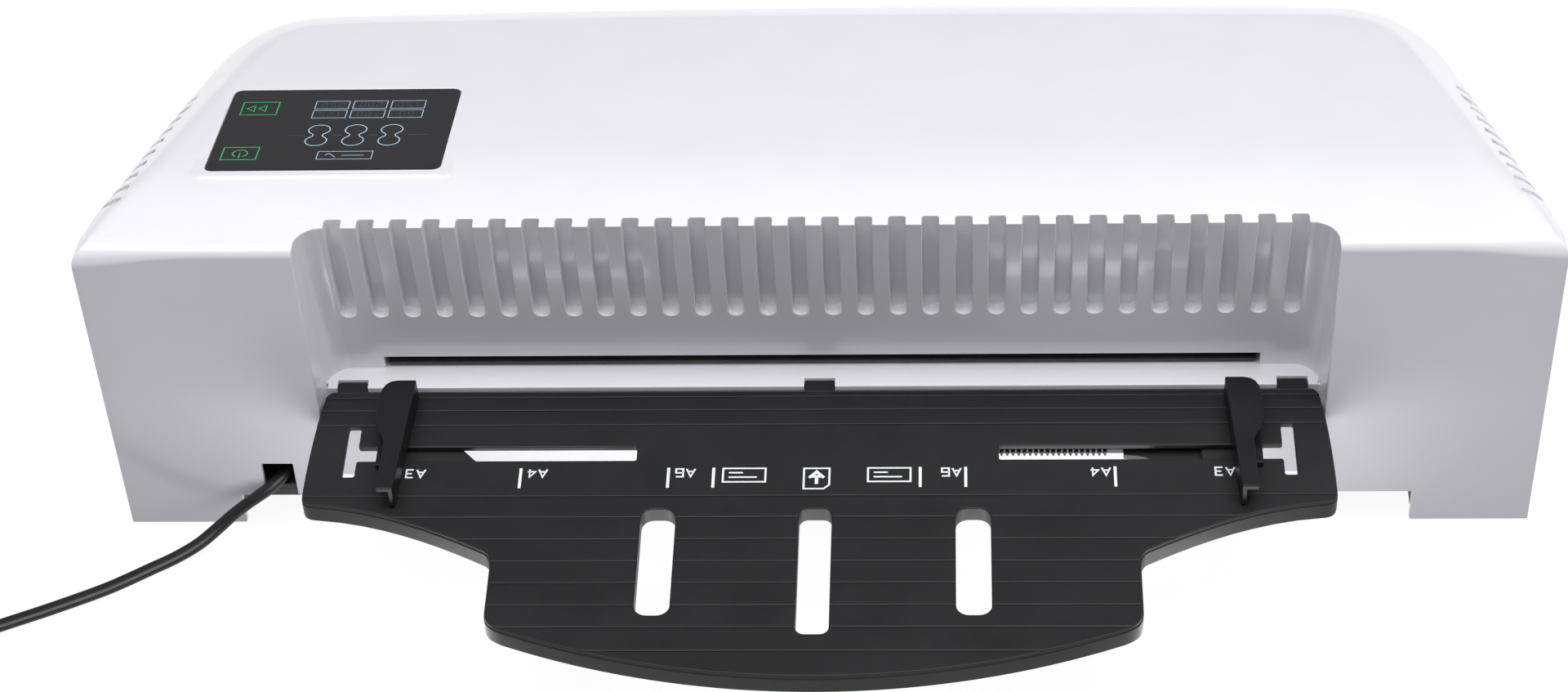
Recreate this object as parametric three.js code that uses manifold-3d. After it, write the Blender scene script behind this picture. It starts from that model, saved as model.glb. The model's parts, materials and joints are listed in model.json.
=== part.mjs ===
// Wide-format pouch laminator with a feed tray, two paper guides, two pairs of rollers and a mains lead.
// Millimetres, +Z up. The feed side faces -Y. Inside this file y = 0 is the feed side's front face,
// and the whole assembly is shifted at the end so that the origin is under the middle of its box.
import * as THREE from 'three';
import { mergeVertices } from 'three/addons/utils/BufferGeometryUtils.js';
import Module from 'manifold-3d';

const wasm = await Module();
wasm.setup();

// ---- Driving dimensions ----
const GAP = 0.3;

// Casing
const HALF_WIDTH = 259;
const BODY_DEPTH = 200;
const BODY_HEIGHT = 140;
const FOOT_HEIGHT = 1.5;
const WALL = 2.8;
const TOP_SLOPE = 0.277;
const SLOPE_START = 10;
const SLOPE_FULL = 60;
const FRONT_EDGE_RADIUS = 4;
const REAR_EDGE_RADIUS = 28;
const UNDERPASS_HALF = 215.7;
const UNDERPASS_TOP = 16.3;

// Recess on the feed side
const RECESS_HALF = 181;
const LEDGE_Y = 10.3;
const LEDGE_Z = 62;
const WALL_LEAN = 0.117;
const WALL_Y_AT_LEDGE = 20.6;
const WALL_THICKNESS = 7;
const GROOVES = 30;
const GROOVE_PITCH = 11.6;
const GROOVE_WIDTH = 5.8;
const GROOVE_DEPTH = 4.5;
const GROOVE_BOTTOM_Z = 94;

// Pouch path
const PATH_Z = 65.3;
const FEED_SLOT_HALF = 158.8;
const FEED_SLOT = [62.2, 68.5];
const EXIT_SLOT_HALF = 162;
const EXIT_SLOT = [61, 70];

// Louvres in the flanks
const LOUVRES = 10;
const LOUVRE_FIRST_Y = 27;
const LOUVRE_PITCH = 9.2;
const LOUVRE_WIDTH = 3.4;
const LOUVRE_LENGTH = 52;
const LOUVRE_BITE = 7.5;

// Display window
const WINDOW = { x: -176.1, y: 78, width: 84.3, length: 67.3, thick: 2, radius: 3 };

// Cable notch
const NOTCH = { x0: -206.2, x1: -194.6, top: 32.8 };

// Feed tray
const TRAY_TOP = 61.5;
const TRAY_FLOOR = 2.5;
const TRAY_BOTTOM = 53;
const TRAY_SKIRT = 2.2;
const TRAY_REACH = 126;
const FRONT_ARC_RADIUS = 284;
const HOOKS_X = [-170, 0, 170];
const HOOK_WIDTH = 10.6;
const FINGER_SLOTS = [
  { x: -55, width: 12.2, y0: -98.4, y1: -49.3, radius: 4.5 },
  { x: 0, width: 11.4, y0: -106.8, y1: -49.3, radius: 3.2 },
  { x: 55, width: 12.2, y0: -98.4, y1: -49.3, radius: 4.5 },
];
const GUIDE_SLOT = { inner: 64.3, outer: 163.5, barOuter: 170.5, y0: -25.7, y1: -18.9, barY0: -33.5, barY1: -10.3 };

// Rack and pinion between the two guides
const RACK_MODULE = 0.65;
const RACK_PINION_TEETH = 14;
const RACK_PINION_Y = -21.8;
const RACK_Z = [54.5, 56.6];
const ARM_Z = [56.6, 58.7];
const RACK_TEETH = 54;
const PIN_RADIUS = 1.5;

// Rollers and gears
const ROLLER_RADIUS = 12.5;
const ROLLER_HALF_LENGTH = 170;
const ROLLER_NIP = 0.3;
const SHAFT_RADIUS = 4;
const HOT_Y = 75;
const COLD_Y = 130;
const BUSH_RADIUS = 5.7;
const FRAME_X = 182;
const FRAME_THICK = 2;
const GEAR_MODULE = 1;
const ROLLER_TEETH = 25;
const IDLER_TEETH = 30;
const MOTOR_TEETH = 12;
const GEAR_X = [-195, -190];
const LOWER_Z = PATH_Z - ROLLER_RADIUS - ROLLER_NIP / 2;
const UPPER_Z = PATH_Z + ROLLER_RADIUS + ROLLER_NIP / 2;
const IDLER_Y = (HOT_Y + COLD_Y) / 2;
const MOTOR_Z = LOWER_Z - (GEAR_MODULE * (IDLER_TEETH + MOTOR_TEETH)) / 2;

// Mains lead: a flat two-core lead, the rest of its 1.8 m coiled beside the machine
const LEAD = { width: 5.6, thick: 3.6 };
const RELIEF = { x: -198, y: 10, z: 24.5, length: 24, tip: 3.2, base: 4.2 };
const COIL = { x: -356.85, y: -32.4, inner: 19.1, outer: 41.5, z: 3, layer: 3.8 };
const PLUG = { width: 26, thick: 13.7, body: 33, pinRadius: 2, pinLength: 19, pinSpacing: 18.6 };

// ---- Materials ----
const finish = (color, roughness, metalness = 0) => new THREE.MeshStandardMaterial({ color, roughness, metalness });
const materials = {
  casing: finish('#ececf1', 0.25),
  underside: finish('#3a3b3d', 0.6),
  trayBlack: finish('#1d1e1f', 0.45),
  glass: finish('#17181a', 0.08),
  board: finish('#1f5a34', 0.5),
  steel: finish('#b4b7ba', 0.35, 0.9),
  aluminium: finish('#c6c8ca', 0.4, 0.85),
  silicone: finish('#a5482c', 0.6),
  rubber: finish('#232323', 0.8),
  gear: finish('#e8e4d4', 0.5),
  bush: finish('#caa24a', 0.4, 0.7),
  heatResistant: finish('#2a2522', 0.55),
  lead: finish('#17181a', 0.5),
};

// ---- Solid helpers ----
function solid(geometry) {
  const bare = geometry.index ? geometry.toNonIndexed() : geometry.clone();
  bare.deleteAttribute('normal');
  bare.deleteAttribute('uv');
  const merged = mergeVertices(bare, 1e-4);
  const mesh = new wasm.Mesh({
    numProp: 3,
    vertProperties: new Float32Array(merged.attributes.position.array),
    triVerts: new Uint32Array(merged.index.array),
  });
  return new wasm.Manifold(mesh);
}

function geometryOf(manifold) {
  const mesh = manifold.getMesh();
  const geometry = new THREE.BufferGeometry();
  geometry.setAttribute('position', new THREE.BufferAttribute(new Float32Array(mesh.vertProperties), 3));
  geometry.setIndex(new THREE.BufferAttribute(new Uint32Array(mesh.triVerts), 1));
  geometry.computeVertexNormals();
  return geometry;
}

const union = (...solids) => solids.reduce((sum, next) => sum.add(next));
const cut = (body, ...tools) => tools.reduce((rest, tool) => rest.subtract(tool), body);

function boxGeometry(x0, x1, y0, y1, z0, z1) {
  const geometry = new THREE.BoxGeometry(x1 - x0, y1 - y0, z1 - z0);
  return geometry.translate((x0 + x1) / 2, (y0 + y1) / 2, (z0 + z1) / 2);
}

const box = (...bounds) => solid(boxGeometry(...bounds));

function extrudeZ(shape, z0, z1, curveSegments = 8) {
  const geometry = new THREE.ExtrudeGeometry(shape, { depth: z1 - z0, bevelEnabled: false, curveSegments });
  return geometry.translate(0, 0, z0);
}

// A shape drawn in (y, z), extruded along X.
function extrudeX(shape, x0, x1, curveSegments = 8) {
  const geometry = new THREE.ExtrudeGeometry(shape, { depth: x1 - x0, bevelEnabled: false, curveSegments });
  const turn = new THREE.Matrix4().makeBasis(
    new THREE.Vector3(0, 1, 0),
    new THREE.Vector3(0, 0, 1),
    new THREE.Vector3(1, 0, 0),
  );
  return geometry.applyMatrix4(turn).translate(x0, 0, 0);
}

// A shape drawn in (x, z), extruded along Y.
function extrudeY(shape, y0, y1, curveSegments = 8) {
  const geometry = new THREE.ExtrudeGeometry(shape, { depth: y1 - y0, bevelEnabled: false, curveSegments });
  const turn = new THREE.Matrix4().makeBasis(
    new THREE.Vector3(1, 0, 0),
    new THREE.Vector3(0, 0, 1),
    new THREE.Vector3(0, -1, 0),
  );
  return geometry.applyMatrix4(turn).translate(0, y1, 0);
}

const polygon = (points) => new THREE.Shape(points.map(([x, y]) => new THREE.Vector2(x, y)));

function circle(x, y, radius) {
  return new THREE.Shape().absarc(x, y, radius, 0, Math.PI * 2, false);
}

function circleHole(x, y, radius) {
  return new THREE.Path().absarc(x, y, radius, 0, Math.PI * 2, true);
}

function roundedRectangle(x0, x1, y0, y1, radius) {
  const shape = new THREE.Shape();
  shape.absarc(x1 - radius, y0 + radius, radius, -Math.PI / 2, 0, false);
  shape.absarc(x1 - radius, y1 - radius, radius, 0, Math.PI / 2, false);
  shape.absarc(x0 + radius, y1 - radius, radius, Math.PI / 2, Math.PI, false);
  shape.absarc(x0 + radius, y0 + radius, radius, Math.PI, Math.PI * 1.5, false);
  shape.closePath();
  return shape;
}

const rodX = (x0, x1, y, z, radius, sides = 16) => extrudeX(circle(y, z, radius), x0, x1, sides);

function ringX(x0, x1, y, z, outer, inner, sides = 16) {
  const shape = circle(y, z, outer);
  shape.holes.push(circleHole(y, z, inner));
  return extrudeX(shape, x0, x1, sides);
}

// A loop of points moved inward by a distance, along the mean of the two edge normals at each point.
function insetLoop(points, distance) {
  const loop = THREE.ShapeUtils.isClockWise(points) ? points.slice().reverse() : points;
  return loop.map((point, i) => {
    const before = point.clone().sub(loop.at(i - 1)).normalize();
    const after = loop[(i + 1) % loop.length].clone().sub(point).normalize();
    const normal = new THREE.Vector2(-before.y - after.y, before.x + after.x);
    const halfCosine = normal.length() / 2;
    return point.clone().add(normal.normalize().multiplyScalar(distance / Math.max(halfCosine, 0.5)));
  });
}

// ---- Assembly ----
const assembly = new THREE.Group();
assembly.position.y = (TRAY_REACH - BODY_DEPTH) / 2;

function addPart(name, shape, material) {
  const geometry = shape.isBufferGeometry ? shape : geometryOf(shape);
  const mesh = new THREE.Mesh(geometry, material);
  mesh.name = name;
  assembly.add(mesh);
}

// ---- Casing ----
function topHeight(y) {
  const ramp = SLOPE_FULL - SLOPE_START;
  if (y <= SLOPE_START) {
    return BODY_HEIGHT;
  }
  if (y <= SLOPE_FULL) {
    return BODY_HEIGHT - (TOP_SLOPE * (y - SLOPE_START) ** 2) / (2 * ramp);
  }
  return BODY_HEIGHT - TOP_SLOPE * (ramp / 2 + y - SLOPE_FULL);
}

// Side view of the casing in (y, z), every face moved inward by inset.
function sideProfile(inset, bottom) {
  const radius = FRONT_EDGE_RADIUS;
  const rear = REAR_EDGE_RADIUS;
  const slopeAngle = Math.atan(TOP_SLOPE);
  const rearY = BODY_DEPTH - rear;
  const tangentY = rearY + rear * Math.sin(slopeAngle);
  const rearZ = topHeight(tangentY) - rear * Math.cos(slopeAngle);
  const shape = new THREE.Shape();
  shape.moveTo(inset, bottom);
  shape.lineTo(inset, BODY_HEIGHT - radius);
  shape.absarc(radius, BODY_HEIGHT - radius, radius - Math.min(inset, radius - 1), Math.PI, Math.PI / 2, true);
  for (let y = SLOPE_START; y <= SLOPE_FULL; y += 10) {
    shape.lineTo(y, topHeight(y) - inset);
  }
  shape.absarc(rearY, rearZ, rear - inset, Math.PI / 2 - slopeAngle, 0, true);
  shape.lineTo(BODY_DEPTH - inset, bottom);
  shape.closePath();
  return shape;
}

// Plan view of the casing: square at the feed side, tapering to rounded corners at the far side.
function planOutline(inset) {
  const wide = HALF_WIDTH - inset;
  const far = BODY_DEPTH - inset;
  const shape = new THREE.Shape();
  shape.moveTo(-wide, inset);
  shape.lineTo(wide, inset);
  shape.lineTo(wide, 8);
  shape.lineTo(240 - inset, 146);
  shape.bezierCurveTo(235.5 - inset, 178, 220 - inset, far - 5, 190 - inset, far - 4);
  shape.quadraticCurveTo(95, far, 0, far);
  shape.quadraticCurveTo(-95, far, -190 + inset, far - 4);
  shape.bezierCurveTo(-220 + inset, far - 5, -235.5 + inset, 178, -240 + inset, 146);
  shape.lineTo(-wide, 8);
  shape.closePath();
  return shape;
}

function casingSolid(inset, bottom) {
  const side = solid(extrudeX(sideProfile(inset, bottom), -HALF_WIDTH - 1, HALF_WIDTH + 1, 5));
  return side.intersect(solid(extrudeZ(planOutline(inset), bottom - 1, BODY_HEIGHT + 1, 6)));
}

const wallY = (z) => WALL_Y_AT_LEDGE - WALL_LEAN * (z - LEDGE_Z);

function recessVoid() {
  const profile = polygon([
    [-5, -5], [LEDGE_Y, -5], [LEDGE_Y, LEDGE_Z], [wallY(LEDGE_Z), LEDGE_Z], [wallY(150), 150], [-5, 150],
  ]);
  const plan = roundedRectangle(-RECESS_HALF, RECESS_HALF, -30, wallY(LEDGE_Z) + 0.5, 9);
  return solid(extrudeX(profile, -200, 200)).intersect(solid(extrudeZ(plan, -6, 151, 4)));
}

function recessWall() {
  const back = (z) => wallY(z) + WALL_THICKNESS;
  const profile = polygon([
    [0.5, UNDERPASS_TOP], [LEDGE_Y + WALL, UNDERPASS_TOP], [LEDGE_Y + WALL, LEDGE_Z - WALL],
    [wallY(LEDGE_Z), LEDGE_Z - WALL], [back(LEDGE_Z), LEDGE_Z], [back(138), 138], [0.5, 138],
  ]);
  return solid(extrudeX(profile, -RECESS_HALF - WALL, RECESS_HALF + WALL));
}

// A blind groove with a round lower end, cut into the leaning wall and open at the top.
function grooveCutter(x) {
  const half = GROOVE_WIDTH / 2;
  const shape = new THREE.Shape();
  shape.moveTo(half, 60);
  shape.lineTo(-half, 60);
  shape.absarc(0, 0, half, Math.PI, Math.PI * 2, false);
  shape.closePath();
  const geometry = extrudeZ(shape, -GROOVE_DEPTH, 6, 3);
  geometry.rotateX(Math.PI / 2 + Math.atan(WALL_LEAN));
  return solid(geometry.translate(x, wallY(GROOVE_BOTTOM_Z), GROOVE_BOTTOM_Z));
}

function halfWidthAt(y) {
  return y < 8 ? HALF_WIDTH : HALF_WIDTH - ((y - 8) * (HALF_WIDTH - 240)) / 138;
}

function louvreCutters(side) {
  const cutters = [];
  for (let i = 0; i < LOUVRES; i += 1) {
    const y = LOUVRE_FIRST_Y + i * LOUVRE_PITCH;
    const xs = [side * (halfWidthAt(y) - LOUVRE_BITE), side * (HALF_WIDTH + 3)].sort((a, b) => a - b);
    cutters.push(box(...xs, y, y + LOUVRE_WIDTH, topHeight(y) - LOUVRE_LENGTH, BODY_HEIGHT + 5));
  }
  return cutters;
}

// A block on the sloping top at the display, between two depths below the surface.
function displayBlock(width, length, deep, shallow, radius = 0) {
  const shape = radius
    ? roundedRectangle(-width / 2, width / 2, -length / 2, length / 2, radius)
    : polygon([[-width / 2, -length / 2], [width / 2, -length / 2], [width / 2, length / 2], [-width / 2, length / 2]]);
  const geometry = extrudeZ(shape, deep, shallow, 4);
  return geometry.rotateX(-Math.atan(TOP_SLOPE)).translate(WINDOW.x, WINDOW.y, topHeight(WINDOW.y));
}

function addCasing() {
  const shell = casingSolid(0, FOOT_HEIGHT).subtract(casingSolid(WALL, FOOT_HEIGHT - 5));
  const pad = solid(displayBlock(WINDOW.width + 9, WINDOW.length + 9, -5, -0.2));
  let cover = union(shell, recessWall(), pad);
  cover = cut(
    cover,
    recessVoid(),
    box(-FEED_SLOT_HALF, FEED_SLOT_HALF, 12, 40, ...FEED_SLOT),
    box(-EXIT_SLOT_HALF, EXIT_SLOT_HALF, 190, BODY_DEPTH + 5, ...EXIT_SLOT),
    box(-UNDERPASS_HALF, UNDERPASS_HALF, -5, BODY_DEPTH + 5, -5, UNDERPASS_TOP),
    box(NOTCH.x0, NOTCH.x1, -5, WALL + 2, 10, NOTCH.top),
    solid(displayBlock(WINDOW.width + 2 * GAP, WINDOW.length + 2 * GAP, -WINDOW.thick - GAP, 5)),
    solid(displayBlock(WINDOW.width - 8, WINDOW.length - 8, -12, 1)),
  );
  for (const x of HOOKS_X) {
    const reach = HOOK_WIDTH / 2 + GAP;
    cover = cover.subtract(box(x - reach, x + reach, 9, 14.4, 57.7, LEDGE_Z + 1));
  }
  for (let i = 0; i < GROOVES; i += 1) {
    cover = cover.subtract(grooveCutter((i - (GROOVES - 1) / 2) * GROOVE_PITCH));
  }
  cover = cut(cover, ...louvreCutters(-1), ...louvreCutters(1));
  addPart('top_cover', cover, materials.casing);
}

function addBase() {
  const wellX = UNDERPASS_HALF + 0.8;
  const floor = 2.5;
  const low = FOOT_HEIGHT + GAP;
  const raised = UNDERPASS_TOP + GAP;
  const hat = polygon([
    [-HALF_WIDTH, low], [-wellX, low], [-wellX, raised], [wellX, raised], [wellX, low], [HALF_WIDTH, low],
    [HALF_WIDTH, low + floor], [wellX + floor, low + floor], [wellX + floor, raised + floor],
    [-wellX - floor, raised + floor], [-wellX - floor, low + floor], [-HALF_WIDTH, low + floor],
  ]);
  const plan = extrudeZ(planOutline(WALL + GAP), 0, 30, 6);
  const strip = box(-RECESS_HALF - WALL - GAP, RECESS_HALF + WALL + GAP, 0, LEDGE_Y + WALL + GAP, 0, 30);
  const lip = box(NOTCH.x0 - 2, NOTCH.x1 + 2, WALL + GAP + 0.3, WALL + GAP + 2.8, 12.6, raised + 1);
  const pan = solid(extrudeY(hat, 0, BODY_DEPTH)).intersect(solid(plan)).subtract(strip).add(lip);
  addPart('base_pan', pan, materials.underside);
  const feet = { front_left: [-238, 22], front_right: [238, 22], rear_left: [-226, 160], rear_right: [226, 160] };
  for (const [place, [x, y]] of Object.entries(feet)) {
    addPart(`foot_${place}`, extrudeZ(circle(x, y, 9), 0, FOOT_HEIGHT, 16), materials.rubber);
  }
}

function addDisplay() {
  const window = displayBlock(WINDOW.width, WINDOW.length, -WINDOW.thick, 0, WINDOW.radius);
  addPart('display_window', window, materials.glass);
  addPart('display_board', displayBlock(WINDOW.width - 9, WINDOW.length - 9, -6.9, -5.3), materials.board);
}

// ---- Feed tray ----
function trayOutline() {
  const frontY = -TRAY_REACH;
  const centreY = frontY + FRONT_ARC_RADIUS;
  const halfFront = 106;
  const startAngle = Math.asin(halfFront / FRONT_ARC_RADIUS);
  const shape = new THREE.Shape();
  const arcEndY = centreY - FRONT_ARC_RADIUS * Math.cos(startAngle);
  shape.moveTo(-176, 9.3);
  shape.lineTo(176, 9.3);
  shape.quadraticCurveTo(179.2, 9.3, 179.6, 6);
  shape.quadraticCurveTo(182.2, -12, 182.2, -42);
  shape.quadraticCurveTo(182.2, -47, 177, -47.2);
  shape.bezierCurveTo(152, -49, 128, -62, 114.5, -69.5);
  shape.quadraticCurveTo(112.5, -71.5, 112.5, -77);
  shape.lineTo(112.5, -96);
  shape.quadraticCurveTo(112.5, -103, halfFront, arcEndY);
  shape.absarc(0, centreY, FRONT_ARC_RADIUS, -Math.PI / 2 + startAngle, -Math.PI / 2 - startAngle, true);
  shape.quadraticCurveTo(-112.5, -103, -112.5, -96);
  shape.lineTo(-112.5, -77);
  shape.quadraticCurveTo(-112.5, -71.5, -114.5, -69.5);
  shape.bezierCurveTo(-128, -62, -152, -49, -177, -47.2);
  shape.quadraticCurveTo(-182.2, -47, -182.2, -42);
  shape.quadraticCurveTo(-182.2, -12, -179.6, 6);
  shape.quadraticCurveTo(-179.2, 9.3, -176, 9.3);
  return new THREE.Shape(shape.getPoints(6).filter((point, i, all) => point.distanceTo(all.at(i - 1)) > 0.01));
}

function guideSlot(side) {
  const { inner, outer, barOuter, y0, y1, barY0, barY1 } = GUIDE_SLOT;
  const corners = [
    [inner, y0], [outer, y0], [outer, barY0], [barOuter, barY0],
    [barOuter, barY1], [outer, barY1], [outer, y1], [inner, y1],
  ];
  return polygon(corners.map(([x, y]) => [side * x, y]));
}

function fingerSlot(slot, margin = 0) {
  const half = slot.width / 2 + margin;
  return roundedRectangle(slot.x - half, slot.x + half, slot.y0 - margin, slot.y1 + margin, slot.radius + margin);
}

function addTray() {
  const outline = trayOutline();
  const inner = new THREE.Shape(insetLoop(outline.getPoints(), TRAY_SKIRT));
  const underFloor = TRAY_TOP - TRAY_FLOOR;
  let tray = solid(extrudeZ(outline, TRAY_BOTTOM, TRAY_TOP)).subtract(
    solid(extrudeZ(inner, TRAY_BOTTOM - 1, underFloor)),
  );
  for (const x of HOOKS_X) {
    tray = tray.add(box(x - HOOK_WIDTH / 2, x + HOOK_WIDTH / 2, 5, 14, 58, TRAY_TOP));
  }
  for (const slot of FINGER_SLOTS) {
    tray = tray.add(solid(extrudeZ(fingerSlot(slot, 1.6), 55, underFloor + 0.5, 3)));
    tray = tray.subtract(solid(extrudeZ(fingerSlot(slot), 50, TRAY_TOP + 1, 3)));
  }
  tray = cut(tray, ...[-1, 1].map((side) => solid(extrudeZ(guideSlot(side), 50, TRAY_TOP + 1))));
  addPart('feed_tray', tray, materials.trayBlack);
  const plate = box(-58, 58, -38, -15.5, TRAY_BOTTOM, RACK_Z[0] - GAP);
  const pin = solid(extrudeZ(circle(0, RACK_PINION_Y, PIN_RADIUS), TRAY_BOTTOM + 0.5, ARM_Z[1] - 0.2, 10));
  addPart('rack_cover', plate.add(pin), materials.trayBlack);
}

// ---- Paper guides ----
function guideSolid(side) {
  const capTop = TRAY_TOP + 10;
  const place = (points) => polygon(points.map(([x, y]) => [side * x, y]));
  const cap = new THREE.Shape();
  cap.moveTo(side * 148, -48.6);
  cap.lineTo(side * 154, -48.6);
  cap.lineTo(side * 153.5, -24.6);
  cap.lineTo(side * 158, -15);
  cap.lineTo(side * 157.6, -3);
  cap.quadraticCurveTo(side * 157, 5, side * 151.5, 5);
  cap.lineTo(side * 145, 5);
  cap.closePath();
  const fence = place([[148, -48.6], [150, -48.6], [147, 5], [145, 5]]);
  const foot = place([[147.5, -30], [157, -30], [157, -14.5], [147.5, -14.5]]);
  const neck = place([[147.5, -25.3], [157, -25.3], [157, -19.3], [147.5, -19.3]]);
  return union(
    solid(extrudeZ(cap, capTop - 2.2, capTop, 4)),
    solid(extrudeZ(fence, TRAY_TOP + GAP, capTop - 1)),
    solid(extrudeZ(foot, TRAY_TOP + GAP, TRAY_TOP + 2.3)),
    solid(extrudeZ(neck, ARM_Z[1] + GAP, TRAY_TOP + 1)),
  );
}

// Rack teeth along X, drawn from the far end back to x0; up is the direction in which the teeth point.
function rackTeeth(x0, up, pitchY) {
  const pitch = Math.PI * RACK_MODULE;
  const root = pitchY - up * 1.15 * RACK_MODULE;
  const tip = pitchY + up * 0.85 * RACK_MODULE;
  const points = [];
  for (let i = 0; i < RACK_TEETH; i += 1) {
    const x = x0 + i * pitch;
    points.push([x - 0.32 * pitch, root], [x - 0.13 * pitch, tip], [x + 0.13 * pitch, tip], [x + 0.32 * pitch, root]);
  }
  return points;
}

function rackBar(side) {
  const pitch = Math.PI * RACK_MODULE;
  const pitchY = RACK_PINION_Y + (side * RACK_MODULE * RACK_PINION_TEETH) / 2;
  const backY = pitchY + side * 4.9;
  const teeth = rackTeeth(-3 * pitch, -side, pitchY).map(([x, y]) => [side * x, y]);
  const root = teeth[0][1];
  return [[side * (-3.5 * pitch), root], ...teeth, [side * 105, root], [side * 105, backY], [side * (-3.5 * pitch), backY]];
}

function addRackAndPinion() {
  const rightBar = rackBar(1);
  rightBar.splice(
    -3, 2, [108.6, rightBar.at(-3)[1]], [108.6, -19.4], [113, -19.8], [116.5, -20.7], [118.5, -22], [120, -25.3],
    [157, -25.3], [157, rightBar.at(-1)[1]],
  );
  const right = union(
    solid(extrudeZ(polygon(rightBar), ...RACK_Z)),
    box(136, 157, -25.3, -18, RACK_Z[1] - 0.5, ARM_Z[1]),
  );
  const leftBar = rackBar(-1);
  leftBar.splice(-3, 2, [-157, leftBar.at(-3)[1]], [-157, leftBar.at(-1)[1]]);
  const jog = polygon([[-157, -31], [-121.5, -31], [-121.5, -24], [-127, -18], [-157, -18]]);
  const left = union(
    solid(extrudeZ(polygon(leftBar), ...RACK_Z)),
    solid(extrudeZ(jog, RACK_Z[1] + GAP, ARM_Z[1])),
    box(-157, -130, -31, -28.5, RACK_Z[0], ARM_Z[1]),
  );
  addPart('guide_rack_left', left, materials.trayBlack);
  addPart('guide_rack_right', right, materials.trayBlack);
  const pinion = gearShape(RACK_PINION_TEETH, RACK_MODULE, 0, 0, RACK_PINION_Y, PIN_RADIUS + GAP);
  addPart('guide_pinion', extrudeZ(pinion, ...RACK_Z, 8), materials.gear);
  addPart('guide_left', guideSolid(-1), materials.trayBlack);
  addPart('guide_right', guideSolid(1), materials.trayBlack);
}

// ---- Gears ----
// Straight-sided teeth; phase is the angle in degrees of one tooth's centre.
function gearShape(teeth, module, phase, x, y, bore) {
  const step = (Math.PI * 2) / teeth;
  const root = (teeth * module) / 2 - 1.15 * module;
  const tip = (teeth * module) / 2 + 0.85 * module;
  const points = [];
  const put = (radius, angle) => points.push([x + radius * Math.cos(angle), y + radius * Math.sin(angle)]);
  for (let i = 0; i < teeth; i += 1) {
    const centre = THREE.MathUtils.degToRad(phase) + i * step;
    put(root, centre - 0.32 * step);
    put(tip, centre - 0.12 * step);
    put(tip, centre + 0.12 * step);
    put(root, centre + 0.32 * step);
  }
  const shape = polygon(points);
  if (bore) {
    shape.holes.push(circleHole(x, y, bore));
  }
  return shape;
}

const driveGear = (teeth, phase, y, z, bore) => extrudeX(gearShape(teeth, GEAR_MODULE, phase, y, z, bore), ...GEAR_X, 8);

// ---- Rollers ----
const rollers = [
  { name: 'hot_roller_lower', y: HOT_Y, z: LOWER_Z, phase: 0 },
  { name: 'hot_roller_upper', y: HOT_Y, z: UPPER_Z, phase: 7.2 },
  { name: 'cold_roller_lower', y: COLD_Y, z: LOWER_Z, phase: 7.2 },
  { name: 'cold_roller_upper', y: COLD_Y, z: UPPER_Z, phase: 0 },
];

function addRollers() {
  for (const { name, y, z, phase } of rollers) {
    const sleeve = ringX(-ROLLER_HALF_LENGTH, ROLLER_HALF_LENGTH, y, z, ROLLER_RADIUS, SHAFT_RADIUS + GAP, 24);
    addPart(name, sleeve, materials.silicone);
    addPart(`${name}_shaft`, rodX(-198, 190, y, z, SHAFT_RADIUS, 12), materials.steel);
    addPart(`${name}_gear`, driveGear(ROLLER_TEETH, phase, y, z, SHAFT_RADIUS + GAP), materials.gear);
    for (const [place, side] of [['left', -1], ['right', 1]]) {
      const ends = [side * (FRAME_X - 2), side * (FRAME_X + FRAME_THICK + 2)].sort((a, b) => a - b);
      const bush = ringX(...ends, y, z, BUSH_RADIUS, SHAFT_RADIUS + GAP, 12);
      addPart(`${name}_bush_${place}`, bush, materials.bush);
    }
  }
}

function addDrive() {
  addPart('idler_gear', driveGear(IDLER_TEETH, 6, IDLER_Y, LOWER_Z, 3.3), materials.gear);
  addPart('idler_pin', rodX(-198, -FRAME_X - FRAME_THICK - GAP, IDLER_Y, LOWER_Z, 3, 12), materials.steel);
  const pinion = solid(driveGear(MOTOR_TEETH, 15, IDLER_Y, MOTOR_Z, 0));
  addPart('motor_pinion', pinion.add(solid(rodX(-197, -176, IDLER_Y, MOTOR_Z, 2.5, 10))), materials.gear);
  const can = solid(rodX(-179.4, -128, IDLER_Y, MOTOR_Z, 11, 20));
  const bore = solid(rodX(-185, -175.5, IDLER_Y, MOTOR_Z, 3.2, 10));
  addPart('drive_motor', can.subtract(bore), materials.steel);
}

function addFrames() {
  for (const [place, side] of [['left', -1], ['right', 1]]) {
    const shape = polygon([[50, 19.4], [155, 19.4], [155, 98], [50, 98]]);
    for (const { y, z } of rollers) {
      shape.holes.push(circleHole(y, z, BUSH_RADIUS + GAP));
    }
    if (side < 0) {
      shape.holes.push(circleHole(IDLER_Y, MOTOR_Z, 4));
    }
    const plate = [side * FRAME_X, side * (FRAME_X + FRAME_THICK)].sort((a, b) => a - b);
    const flange = [side * 168, side * (FRAME_X + 0.5)].sort((a, b) => a - b);
    const frame = union(
      solid(extrudeX(shape, ...plate, 12)),
      box(...flange, 50, 155, 96, 98),
      box(...flange, 50, 85, 19.4, 21.4),
    );
    addPart(`side_frame_${place}`, frame, materials.steel);
    for (const [role, y] of [['hot', HOT_Y], ['cold', COLD_Y]]) {
      addPart(`pressure_spring_${role}_${place}`, springGeometry(side * 176, y), materials.steel);
    }
  }
}

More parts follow.
